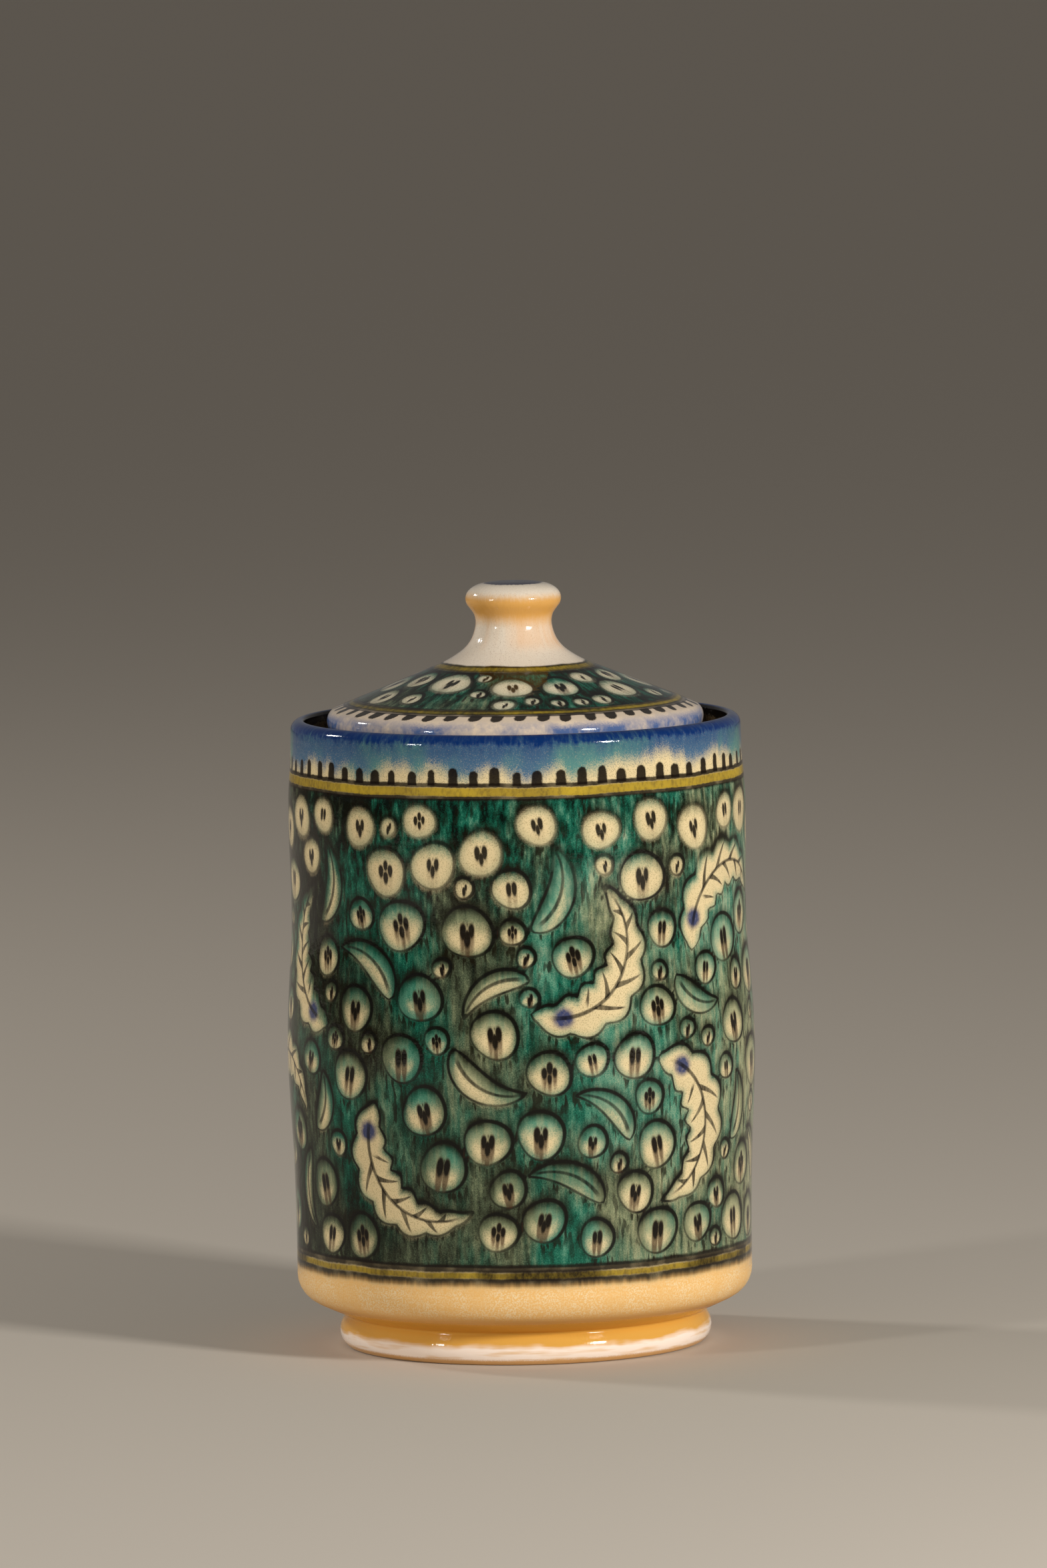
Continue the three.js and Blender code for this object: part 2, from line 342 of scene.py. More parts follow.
def wander(angle, height, waves):
    """How far a thrown wall strays from round: a sum of cosines of the angle, each divided by the root of
    its count of waves and turning slowly with height."""
    total = np.zeros(np.broadcast(angle, height).shape)
    for count in waves:
        phase, twist = rng.uniform(0, TURN), rng.uniform(-0.02, 0.02)
        total += np.cos(count * angle + phase + twist * height) / count**0.5
    return total


jar_angle, jar_radius, jar_height = grid(jar_line, JAR_COLUMNS)
swell = np.clip((jar_height - WANDER_START) / (WANDER_FULL - WANDER_START), 0, 1)
swell *= np.clip((jar_radius - INSIDE_RADIUS) / (OUTSIDE_RADIUS - INSIDE_RADIUS), 0, 1)
jar_radius = jar_radius + WANDER * swell * wander(jar_angle, jar_height, WANDER_WAVES)
jar_rows = np.arange(len(jar_line))
jar_painted = (jar_rows > len(foot_line) - HEEL_ROWS) & (jar_rows < lip_row + LIP_ROWS)
jar_share = np.where(jar_painted, 1.0, PLAIN_SHARE)
jar = turned("jar", jar_radius, jar_height, JAR_COLUMNS, jar_share)

# %% [markdown]
# ## The lid's shape
#
# The lid is a shallow cone with a rounded edge. Underneath, a short collar drops into the jar's throat
# and keeps the lid centred while its edge rests on the ledge. The knob is drawn up from the same clay: it
# flares out of the cone, narrows to a neck and swells into a soft rounded head.

# %% Lid outline and mesh
LID_COLUMNS = 320
LID_BEARING = 162.3  # height of the face that rests on the ledge
UNDER_SPACING, KNOB_SPACING = 0.9, 0.8  # mm between rows
CONE_END = (26, 180.8)
LID_UNDERSIDE = [
    (0, 181.25, 0), (10.2, 181.25, 6), (39.7, 169.33, 4), (39.7, 154.3, 1.2), (43.7, 154.3, 1.2),
    (43.7, LID_BEARING, 0.6), (49.2, LID_BEARING, 0.9), (51.09, 170.66, 3.5), (*CONE_END, 0),
]
KNOB_STATIONS = [
    CONE_END, (22.8, 182.1), (19.4, 183.5), (16.0, 185.4), (13.1, 187.6), (11.4, 189.9),
    (10.55, 192.2), (10.2, 194.6), (10.6, 196.5), (11.7, 198.1), (12.6, 199.4), (12.85, 200.7),
    (12.5, 202.1), (11.6, 203.2), (10.0, 204.2), (7.0, 204.9), (3.5, 205.18), (0, 205.2),
]

under_line = refined(rounded(LID_UNDERSIDE), UNDER_SPACING)
lid_line = np.vstack([under_line[:-1], smooth_through(KNOB_STATIONS, KNOB_SPACING)])
edge_row = int(np.argmax(lid_line[:, 0]))
lid_angle, lid_radius, lid_height = grid(lid_line, LID_COLUMNS)
lid_share = np.where(np.arange(len(lid_line)) > edge_row - LIP_ROWS, 1.0, PLAIN_SHARE)
lid = turned("lid_painted", lid_radius, lid_height, LID_COLUMNS, lid_share)

# %% [markdown]
# ## Laying out the painting
#
# The decoration is brushwork on the unrolled wall: a fill of ringed dots with dark seeds, long curved
# leaves and small plain ones between them, and rows of short dashes along the borders. Each motif is a
# place, a size and a few random looks. What the surface stores is how far each point lies from the drawn
# outlines, in millimetres. A distance runs evenly from point to point, so the shader can draw a crisp
# line from it at any closeness, which a stored colour could not.

# %% Motif helpers
LOBES = 7  # along one side of a large leaf
RING_WAVES = ((2, 0.045), (3, 0.03))  # waves on a ring's way round, and their share of its radius


def beside(angle, run, motifs):
    """Each point's place beside each motif on the unrolled surface, in mm: across is the motif's distance
    from the axis times the angle between them, the short way round, and up is the difference along the
    wall."""
    turn = (angle[:, None] - motifs["angle"] + np.pi) % TURN - np.pi
    return motifs["reach"] * turn, run[:, None] - motifs["run"]


def ring_gap(across, up, dots):
    """Distance outside a ring drawn by hand: its radius wavers with the bearing in two slow cosines."""
    bearing = np.arctan2(up, across)
    waver = sum(share * np.cos(n * bearing + (n - 1) * dots["phase"]) for n, share in RING_WAVES)
    return np.hypot(across, up) - dots["size"] * (1 + waver)


def leaf_places(across, up, leaves):
    """Places on leaves whose midrib is a circle arc: the share of the midrib from stem to tip, the
    distance outside the midrib's circle, and the half width there. The half width is the sine of the
    share, fuller near the stem, times round lobes with sharp notches, the size of a cosine, that
    alternate between the sides."""
    bearing = np.arctan2(up, across) - leaves["facing"]
    bearing = ((bearing + np.pi) % TURN - np.pi) * leaves["curl"]
    along = bearing / leaves["span"] + 0.5
    aside = np.hypot(across, up) - leaves["arc"]
    lobes = np.abs(np.cos(np.pi * (LOBES * along + np.sign(aside) / 4)))
    half_width = leaves["width"] * np.sin(np.pi * np.clip(along, 0, 1) ** 0.75) ** 0.8
    return along, aside, half_width * (1 + leaves["lobe"] * (2 * lobes - 1))


def leaf_gap(across, up, leaves):
    """Distance outside a leaf's edge, negative inside. Past its ends it is the distance to the nearer
    tip: the root of the squared difference in radius plus the squared chord of the angle between."""
    along, aside, half_width = leaf_places(across, up, leaves)
    beyond = np.abs(along - np.clip(along, 0, 1)) * leaves["span"]
    chord = 2 * np.sin(beyond / 2) * np.sqrt(np.hypot(across, up) * leaves["arc"])
    return np.where(beyond > 0, np.hypot(aside, chord), np.abs(aside) - half_width)


def joined(*groups):
    """Several groups of motifs as one."""
    return {key: np.concatenate([group[key] for group in groups]) for key in groups[0]}


# %% Leaves on the jar
FIELD_LOW = 28.0  # mm above the table, where the green field starts and ends
FIELD_HIGH = 152.2
JAR_REACH = 62.0
LEAVES_IN_ROW = 6
LEAF_ROWS = (62.0, 114.0)
LEAF_SOFT = 1.6  # mm over which the soaked-in green fades
LEAF_FALLS = (0.6, 1.6)  # mm, the least and the most that the glaze fell over a leaf


def leaf_group(angle, run, facing, curl, arc, span, width, lobe, soaks):
    """Leaves with the looks that every motif has: how far the green soaked in, as a share of the width
    between the two soaks, and how far the glaze fell."""
    count = len(angle)
    return {
        "angle": angle, "run": run, "facing": facing, "curl": curl, "arc": arc, "span": span,
        "width": width, "lobe": np.full(count, lobe), "reach": np.full(count, JAR_REACH),
        "soak": width * rng.uniform(*soaks, count), "soft": np.full(count, LEAF_SOFT),
        "fall": rng.uniform(*LEAF_FALLS, count),
    }


leaf_count = LEAVES_IN_ROW * len(LEAF_ROWS)
number = np.arange(leaf_count)
leaf_row = number // LEAVES_IN_ROW
leaves = leaf_group(
    angle=(number + 0.5 * leaf_row + 0.1) * TURN / LEAVES_IN_ROW + rng.uniform(-0.1, 0.1, leaf_count),
    run=np.take(LEAF_ROWS, leaf_row) + rng.uniform(-5, 5, leaf_count),
    facing=number * 2.4 + 0.6,
    curl=np.where(number % 2, -1.0, 1.0),
    arc=rng.uniform(18.5, 21.5, leaf_count),
    span=rng.uniform(2.6, 2.9, leaf_count),
    width=rng.uniform(6.2, 7.2, leaf_count),
    lobe=0.17,
    soaks=(0.25, 0.75),
)

# %% Small leaves between the large ones
SPRIG_GAP = 2.5  # mm between a small leaf and a large one
SPRIG_TRIES = 400
SPRIGS = 24
SPRIG_LOWEST = (0, FIELD_LOW + 8, 0, 12, 1.4, 3.0)  # angle, run, facing, arc, span and width
SPRIG_HIGHEST = (TURN, FIELD_HIGH - 20, TURN, 16, 1.8, 4.0)
MIDRIB_SAMPLES = np.linspace(-0.5, 0.5, 9)

sprigs = 0
for _ in range(SPRIG_TRIES):
    angle, run, facing, arc, span, width = rng.uniform(SPRIG_LOWEST, SPRIG_HIGHEST)
    bearing = facing + MIDRIB_SAMPLES * span
    rib_angle = angle + arc * np.cos(bearing) / JAR_REACH
    rib_run = run + arc * np.sin(bearing)
    room = leaf_gap(*beside(rib_angle, rib_run, leaves), leaves).min()
    inside_field = (rib_run.min() > FIELD_LOW + width + 2) and (rib_run.max() < FIELD_HIGH - width - 2)
    if room > width + SPRIG_GAP and inside_field and sprigs < SPRIGS:
        sprig = [np.array([x]) for x in (angle, run, facing, 1.0, arc, span, width)]
        leaves = joined(leaves, leaf_group(*sprig, lobe=0.0, soaks=(1.0, 2.2)))
        sprigs += 1
print("large leaves:", leaf_count, "small leaves:", sprigs)

# %% [markdown]
# ### Dots between the leaves
#
# The painter filled what was left between the large shapes with dots, big ones first and small ones in
# the gaps. A regular grid would look printed, so dots are thrown at random places and kept where they
# still find room.

# %% Throwing dots
DOT_GAP = 1.3  # mm between neighbouring outlines
LEAF_GAP = 1.5  # mm between a dot and a leaf
SPOKES = np.linspace(0, TURN, 16, endpoint=False)  # where a dot's rim is tested against the leaves
DOT_SPREAD = 0.12  # share by which a dot may outgrow the size that was thrown


def filled_with_dots(leaves, low, high, reach_at, sizes):
    """Dots thrown at random where a circle of their size still finds room. sizes are pairs of a size in
    mm and how often it is thrown, the largest first. A dot takes what room it finds, up to a random share
    more than its size. Its room beside the leaves is measured from points round its rim. reach_at gives
    the distance from the axis for a place along the wall."""
    keys = ("angle", "run", "size", "reach")
    dots = {key: np.zeros(0) for key in keys}
    for size, throws in sizes:
        angles, runs = rng.uniform(0, TURN, throws), rng.uniform(low + size, high - size, throws)
        rooms = np.minimum(runs - low, high - runs)
        if leaves:
            rim_angles = angles[:, None] + size * np.cos(SPOKES) / JAR_REACH
            rim_runs = runs[:, None] + size * np.sin(SPOKES)
            clear = leaf_gap(*beside(rim_angles.ravel(), rim_runs.ravel(), leaves), leaves).min(axis=1)
            rooms = np.minimum(rooms, size + clear.reshape(rim_runs.shape).min(axis=1) - LEAF_GAP)
        for angle, run, room in np.c_[angles, runs, rooms][rooms > size]:
            gaps = np.hypot(*beside(np.array([angle]), np.array([run]), dots)) - dots["size"] - DOT_GAP
            room = np.r_[room, gaps.ravel()].min()
            if room > size:
                found = (angle, run, min(room, size * rng.uniform(1, 1 + DOT_SPREAD)), reach_at(run))
                dots = {key: np.r_[dots[key], value] for key, value in zip(keys, found)}
    return dots


# %% The looks of a dot
SEED_SETS = np.array([(1, 1, 1, 1), (0, 1, 1, 1), (0, 1.1, 1, 0), (0, 0, 0.8, 1)], float)
SEED_SPREADS = np.array((1.4, 1.0, 0.85, 0.9))
SEED_SHARES = (0.2, 0.5, 0.3, 0.0)
SMALL_DOT = 3.4  # mm, under which a dot has room for two seeds only


def with_looks(dots, wash, fall):
    """Adds each dot's looks: the phase of its waver; the wash, which is the share of the dot that the
    green soaked into from above; the rim, how far it soaked in all round; over how many mm it fades;
    how many mm the glaze fell; and the tilt, the spread and the sizes of its seeds at the top, left, right
    and bottom."""
    count = len(dots["size"])
    kind = rng.choice(len(SEED_SETS), count, p=SEED_SHARES)
    kind = np.where(dots["size"] < SMALL_DOT, len(SEED_SETS) - 1, kind)
    return {
        **dots,
        "wash": wash,
        "phase": rng.uniform(0, TURN, count),
        "soak": dots["size"] * (0.15 + 0.95 * wash),
        "soft": dots["size"] * 0.4,
        "fall": fall * (0.2 + wash) * rng.uniform(0.3, 1.4, count),
        "rim": dots["size"] * (0.55 * wash - 0.17),
        "tilt": rng.uniform(-0.2, 0.2, count),
        "spread": SEED_SPREADS[kind],
        "seeds": SEED_SETS[kind] * rng.uniform(0.85, 1.15, (count, 4)),
    }


# %% Dots on the jar
# Pairs of a size in mm and how often it is thrown.
DOT_SIZES = [(6.3, 150), (5.7, 900), (5.2, 4000), (4.7, 8000), (4.1, 8000), (3.4, 5000), (2.6, 2000)]
DRY_DEPTH = 12.0  # mm below the field's top, down to which the glaze hardly ran
RUN_DEPTH = 28.0  # mm further, over which it came to run freely

jar_dots = filled_with_dots(leaves, FIELD_LOW + 1, FIELD_HIGH - 1, lambda run: JAR_REACH, DOT_SIZES)
ran_far = np.clip((FIELD_HIGH - DRY_DEPTH - jar_dots["run"]) / RUN_DEPTH, 0.14, 1)
jar_dots = with_looks(jar_dots, wash=ran_far * rng.uniform(0.65, 1.2, len(ran_far)), fall=1.8)
print("dots on the jar:", len(jar_dots["size"]))

# %% [markdown]
# ### What each point remembers
#
# Every point of the mesh gets the distance to the nearest drawn outline, how far the green reaches past
# it and which way that outline faces, because glaze gathers over an upper edge and thins below a lower
# one. It also gets its place beside the nearest dot and on the nearest leaf, for the seeds and the veins.

# %% Distances to the outlines
WASH_BOW = 0.25  # how much lower the soaked-in green reaches at a dot's sides
RIM_SOFT = 0.22  # share of a dot's size over which the green fades inwards from its outline
CRISP = 0.8  # mm over which the green ends at a motif's lower edge
FACING_STEP = 2.0  # mm over which an outline's facing is measured
SHADE_REACH = 2.6  # mm that a drawn outline's iron spread into the green
FAR = 50.0  # mm, for points with no motif near them


def edges(gap_of, across, up, motifs, washed):
    """For each point and motif: the distance to the drawn outline; how far into the green it lies, in
    units of how soft the green's edge is; 1 where the outline is an upper edge, -1 where it is a lower
    one; and the shade that the outline cast, most at its upper edge. The green stops at the outline,
    lowered by the glaze's fall, or where it soaked in from above, which washed gives in the same
    units."""
    drawn = gap_of(across, up, motifs)
    rise = gap_of(across, up + FACING_STEP, motifs) - gap_of(across, up - FACING_STEP, motifs)
    top = np.clip(rise / (2 * FACING_STEP), -1, 1)
    green = np.maximum(gap_of(across, up + motifs["fall"], motifs) / CRISP, washed)
    shade = np.clip(1 - np.abs(drawn) / SHADE_REACH, 0, 1) * (0.58 + 0.42 * top)
    return drawn, green, top, shade.max(axis=1)


# %% Storing the motifs on a piece
def pick(table, nearest):
    """The entries of a points by motifs table that belong to each point's nearest motif."""
    return np.take_along_axis(table, nearest[:, None], axis=1)[:, 0]


def note_where(piece, name, painted, values, elsewhere):
    """Stores values at the painted points and the same resting value at all others."""
    values = np.asarray(values, float)
    everywhere = np.full((len(painted), *values.shape[1:]), elsewhere, float)
    everywhere[painted] = values
    note(piece, name, everywhere)


def note_motifs(piece, angle, run, painted, dots, leaves=None):
    """Stores, on the painted points: the distance to the nearest outline, the green's edge and which way
    that outline faces; the place beside the nearest dot and its looks; and the place on the nearest
    leaf."""
    angle, run = angle[painted], run[painted]
    across, up = beside(angle, run, dots)
    from_above = (up - dots["size"] + dots["soak"] + WASH_BOW * across**2 / dots["size"]) / dots["soft"]
    from_rim = (ring_gap(across, up + dots["fall"] / 2, dots) + dots["rim"]) / (RIM_SOFT * dots["size"])
    drawn, green, top, shade = edges(ring_gap, across, up, dots, np.maximum(from_above, from_rim))
    nearest = np.argmin(drawn, axis=1)
    looks = np.c_[dots["wash"], dots["tilt"], dots["spread"]][nearest]
    dot_places = np.c_[pick(across, nearest), pick(up, nearest), dots["size"][nearest]]
    note_where(piece, "dot", painted, dot_places, FAR)
    note_where(piece, "dot_looks", painted, looks, 0.0)
    note_where(piece, "seeds", painted, dots["seeds"][nearest], 0.0)
    outline, green, facing = drawn.min(axis=1), green.min(axis=1), pick(top, nearest)
    dot_outline, leaf_outline = outline, np.full_like(outline, FAR)
    if leaves:
        across, up = beside(angle, run, leaves)
        half = leaves["soak"] / 2
        soaked = (leaf_gap(across, up + half, leaves) + half) / leaves["soft"]
        drawn, leaf_green, top, leaf_shade = edges(leaf_gap, across, up, leaves, soaked)
        nearest = np.argmin(drawn, axis=1)
        along, aside, half_width = leaf_places(across, up, leaves)
        length = leaves["span"] * leaves["arc"]
        places = np.c_[pick(along * length, nearest), pick(aside, nearest), pick(half_width, nearest)]
        leaf_outline = drawn.min(axis=1)
        note_where(piece, "leaf", painted, places, FAR)
        note_where(piece, "leaf_looks", painted, np.c_[leaves["lobe"][nearest], length[nearest]], 0.0)
        facing = np.where(leaf_outline < outline, pick(top, nearest), facing)
        outline = np.minimum(outline, leaf_outline)
        green = np.minimum(green, leaf_green.min(axis=1))
        shade = np.maximum(shade, leaf_shade)
    note_where(piece, "outline", painted, np.c_[outline, green, facing], FAR)
    note_where(piece, "apart", painted, np.c_[shade, dot_outline, leaf_outline], FAR)


# %% Jar layout
LIP_PAINT_ROWS = 4  # rows past the lip's top that the outside's paint still covers
FIELD_MARGIN = 3.0  # mm beyond the field for which distances are stored too


def note_wrap(piece, reach, angle, run, outside):
    """Stores each point's place on a straight tube of radius reach, as high as its run along the wall, and
    whether it lies inside the piece."""
    note(piece, "wrap", np.c_[reach * np.cos(angle), reach * np.sin(angle), run])
    note(piece, "inside", ~outside)


jar_theta = per_point(np.broadcast_to(jar_angle, jar_height.shape))
jar_run = per_point(jar_height)
jar_row_of = per_point(np.repeat(jar_rows[:, None], JAR_COLUMNS, 1))
jar_outside = jar_row_of < lip_row + LIP_PAINT_ROWS
in_field = jar_outside & (jar_run > FIELD_LOW - FIELD_MARGIN) & (jar_run < FIELD_HIGH + FIELD_MARGIN)
note_wrap(jar, JAR_REACH, jar_theta, jar_run, jar_outside)
note_motifs(jar, jar_theta, jar_run, in_field, jar_dots, leaves)

# %% Lid layout
# On the lid, run is the distance up the surface from the widest point of the edge.
LID_FIELD = (10.6, 32.2)
LID_REACH = 34.0
LID_DOT_SIZES = [(5.2, 90), (4.4, 150), (3.0, 150), (2.2, 150)]
LID_OUTSIDE = -6.5  # where the painted edge ends underneath

travel = np.r_[0, np.cumsum(np.hypot(*np.diff(lid_line, axis=0).T))]
lid_travel = travel - travel[edge_row]
lid_theta = per_point(np.broadcast_to(lid_angle, lid_height.shape))
lid_run = per_point(np.repeat(lid_travel[:, None], LID_COLUMNS, 1))
note_wrap(lid, LID_REACH, lid_theta, lid_run, lid_run > LID_OUTSIDE)


def cone_radius(run):
    """The distance from the axis at a place up the lid, read off its outline."""
    return np.interp(run, lid_travel[edge_row:], lid_line[edge_row:, 0])


lid_dots = filled_with_dots(None, *LID_FIELD, cone_radius, LID_DOT_SIZES)
lid_dots = with_looks(lid_dots, wash=rng.uniform(0.2, 0.6, len(lid_dots["size"])), fall=0.8)
lid_in_field = (lid_run > LID_FIELD[0] - FIELD_MARGIN) & (lid_run < LID_FIELD[1] + FIELD_MARGIN)
note_motifs(lid, lid_theta, lid_run, lid_in_field, lid_dots)
print("dots on the lid:", len(lid_dots["size"]))

# %% [markdown]
# ## Mixing a glaze
#
# A shader is a sum of brush layers, and each layer is a formula over the stored numbers. Writing those
# formulas as nodes one by one would be long, so a small class wraps a node's output: arithmetic on it
# adds Math nodes, and a few words such as rise and between stand for the soft steps that a brush edge
# needs.

# %% Numbers over a surface
def arithmetic(operation, swapped=False):
    """A method that adds one Math node; where swapped, the Layer itself is the node's last value."""

    def method(self, *others):
        return self.glaze.math(operation, *((*others, self) if swapped else (self, *others)))

    return method


class Layer:
    """A number or a colour that varies over the surface: the output of a node."""

    __add__ = __radd__ = arithmetic("ADD")
    __sub__ = arithmetic("SUBTRACT")
    __rsub__ = arithmetic("SUBTRACT", swapped=True)
    __mul__ = __rmul__ = arithmetic("MULTIPLY")
    __truediv__ = arithmetic("DIVIDE")
    __rtruediv__ = arithmetic("DIVIDE", swapped=True)
    abs = arithmetic("ABSOLUTE")
    least = arithmetic("MINIMUM")
    most = arithmetic("MAXIMUM")

    def __init__(self, glaze, socket):
        self.glaze = glaze
        self.socket = socket

    def swing(self, amount):
        """How far the number strays from a half, times an amount."""
        return (self - 0.5) * amount

    def rise(self, low, high):
        """0 below low, 1 above high and a smooth ramp between; with low above high it falls instead."""
        return self.glaze.ramp(self, low, high)

    def between(self, low, high, soft):
        """1 between low and high, fading to 0 over soft on each side."""
        return self.rise(low - soft, low) * self.rise(high + soft, high)


# %% Layers of a material
class Glaze:
    """A material built up in layers. Each call adds a node; arguments are numbers, colours or Layers."""

    def __init__(self, name):
        self.material = bpy.data.materials.new(name)
        self.material.use_nodes = True
        self.tree = self.material.node_tree
        self.shader = self.tree.nodes["Principled BSDF"]

    def feed(self, socket, value):
        """Connects a Layer to a socket, or sets the socket's own value."""
        if isinstance(value, Layer):
            self.tree.links.new(value.socket, socket)
        else:
            socket.default_value = value

    def node(self, kind, inputs=(), output=0, **settings):
        """Adds a node with its inputs and settings, and gives one of its outputs."""
        made = self.tree.nodes.new(kind)
        for key, value in settings.items():
            setattr(made, key, value)
        for key, value in dict(inputs).items():
            self.feed(made.inputs[key], value)
        return Layer(self, made.outputs[output])

    def math(self, operation, *values):
        """One Math node on one or two values."""
        return self.node("ShaderNodeMath", enumerate(values), operation=operation)

    def ramp(self, value, low, high):
        """3 t squared minus 2 t cubed, where t is the value's share of the way from low to high."""
        inputs = {"Value": value, "From Min": low, "From Max": high}
        return self.node("ShaderNodeMapRange", inputs, interpolation_type="SMOOTHSTEP")

    def stored(self, name, output="Vector"):
        """What the mesh's points carry under a name."""
        return self.node("ShaderNodeAttribute", (), output, attribute_name=name)

    def split(self, vector):
        """The three parts of a vector."""
        made = self.tree.nodes.new("ShaderNodeSeparateXYZ")
        self.feed(made.inputs[0], vector)
        return [Layer(self, out) for out in made.outputs]

    def length(self, x, y):
        """The root of x squared plus y squared."""
        return self.math("SQRT", x * x + y * y)

    def stretched(self, vector, scale):
        """A vector with each part times its scale."""
        return self.node("ShaderNodeVectorMath", {0: vector, 1: scale}, operation="MULTIPLY")

    def noise(self, vector, scale, detail, roughness):
        """Cloudy noise from 0 to 1, with about scale clouds to the unit."""
        inputs = {"Vector": vector, "Scale": scale, "Detail": detail, "Roughness": roughness}
        return self.node("ShaderNodeTexNoise", inputs)

    def mix(self, amount, under, over):
        """Lays one colour over another. The node itself keeps the amount between 0 and 1."""
        made = self.tree.nodes.new("ShaderNodeMix")
        made.data_type = "RGBA"
        for key, value in ((0, amount), (6, under), (7, over)):
            self.feed(made.inputs[key], value)
        return Layer(self, made.outputs[2])

    def blended(self, value, stops):
        """A colour that runs through (place, colour) stops as the value goes from 0 to 1."""
        made = self.tree.nodes.new("ShaderNodeValToRGB")
        self.feed(made.inputs[0], value)
        line = made.color_ramp.elements
        while len(line) < len(stops):
            line.new(0.5)
        for element, (place, colour) in zip(line, stops):
            element.position = place
            element.color = colour
        return Layer(self, made.outputs[0])


# %% Colours by code
def paint(code):
    """A colour from its screen code, such as d9b98a, in the linear values that shaders use."""
    screen = np.array([int(code[i : i + 2], 16) for i in (0, 2, 4)]) / 255
    linear = np.where(screen <= 0.04045, screen / 12.92, ((screen + 0.055) / 1.055) ** 2.4)
    return (*linear.tolist(), 1.0)


# %% [markdown]
# ## The painted glaze
#
# The potter dipped the pot in cream slip, drew the outlines and seeds in a dark brown, washed copper
# green round them, filled the ground with short upright strokes and glazed it all. In the kiln the green
# ran: it streaks downwards, pools almost black in places and bleeds into the tops of the dots. So the
# green layer is a streaky noise along the height, and its edge round each motif sits a little lower than
# the drawn outline and is softest at the top.

# %% Brush colours
CREAM = paint("e0ca9a")
CREAM_GRAIN = paint("8a7448")
SAGE = [paint(code) for code in ("a6a47c", "79805f", "4f5841", "2c3122", "0c0f08")]
TEAL = [paint(code) for code in ("93a787", "568a70", "1d6650", "0a4030", "04110b")]
THICKNESS = (0.02, 0.26, 0.48, 0.68, 0.9)
SHADE = paint("151005")
OUTLINE = paint("0f0e09")
SEED = paint("0c0806")
SEED_RUN = paint("432a18")
COBALT = paint("03285f")
COBALT_WASH = paint("3b617f")
TURQUOISE = paint("4f837e")
OCHRE = paint("ba9b24")
OCHRE_THIN = paint("6b551a")
BORDER_BROWN = paint("170f08")


# %% Cream and green
class GroundGlaze(Glaze):
    """The cream slip and the copper green that the jar and the lid share."""

    def __init__(self, name):
        super().__init__(name)
        self.wrap = self.stored("wrap")
        self.run = self.split(self.wrap)[2]
        self.grain = self.clouds(1, 3.2, detail=1)
        self.mottle = self.clouds(0.6, 0.9, 3, 0.6)
        self.patch = self.clouds(0.7, 0.05)
        self.pool = self.clouds(0.5, 0.16)
        self.streak = self.clouds(0.12, 0.7, 3, 0.6)
        self.copper = self.clouds(0.6, 0.045)
        self.shore = self.clouds(0.15, 0.075).swing(1.0)
        self.waver = self.clouds(0.15, 0.04).swing(1.6)

    def clouds(self, squash, scale, detail=2, roughness=0.5):
        """Noise on the unrolled wall, where a squash below 1 draws each cloud out along the height."""
        return self.noise(self.stretched(self.wrap, (1, 1, squash)), scale, detail, roughness)

    def cream_ground(self, cream):
        """Cream slip with fine sandy grains and slow changes of tone."""
        grains = self.grain.rise(0.5, 0.7) * 0.45 + (self.patch - 0.4) * 0.4
        return self.mix(grains, cream, CREAM_GRAIN)

    def green_depth(self, thickness, mottling):
        """How thick the copper green lies: brushed on unevenly, mottled, and drawn down in streaks."""
        flecks = self.clouds(0.4, 0.45, 2, 0.55)
        depth = thickness + self.patch.swing(0.9) + flecks.swing(mottling)
        return depth + self.streak.swing(0.5) + self.grain.swing(0.5)

    def green_wash(self, depth):
        """The green's colour at a depth: pale where it is thin and nearly black where it is thick,
        greyish in some broad patches and teal in others, where the copper is strongest."""
        sage = self.blended(depth, list(zip(THICKNESS, SAGE)))
        teal = self.blended(depth, list(zip(THICKNESS, TEAL)))
        copper = self.copper + self.streak.swing(0.25)
        return self.mix(copper.rise(0.41, 0.64), sage, teal)


# %% [markdown]
# ### Outlines, strokes and seeds
#
# Dark brown was drawn with the tip of a brush. A line is heaviest over a motif's upper right, where the
# hand pressed and the glaze gathered, and the iron in it stained the green around. The seeds are almond
# dabs whose brown ran down in the kiln. All of them are soft steps of the stored distances.

# %% Motifs
LINE_HALF = 0.56  # mm from the middle of a drawn line to where it has faded out
UPPER_SWELL, RIGHT_SWELL = 0.18, 0.14  # mm that the line grows over an upper edge and on a dot's right
STROKE_REACH = 5.0  # mm below a motif in which the upright strokes are strongest
SEED_PLACES = [(0.05, 1.7), (-1, 0.3), (1, 0.45), (0, -1.3)]  # mm in a full dot: top, left, right, bottom
SEED_HALF_WIDTH = 0.66
FULL_DOT = 6.0  # mm, the size of dot for which the seeds' places are given
LEAST_DOT = 3.6  # mm, below which seeds no longer shrink with their dot


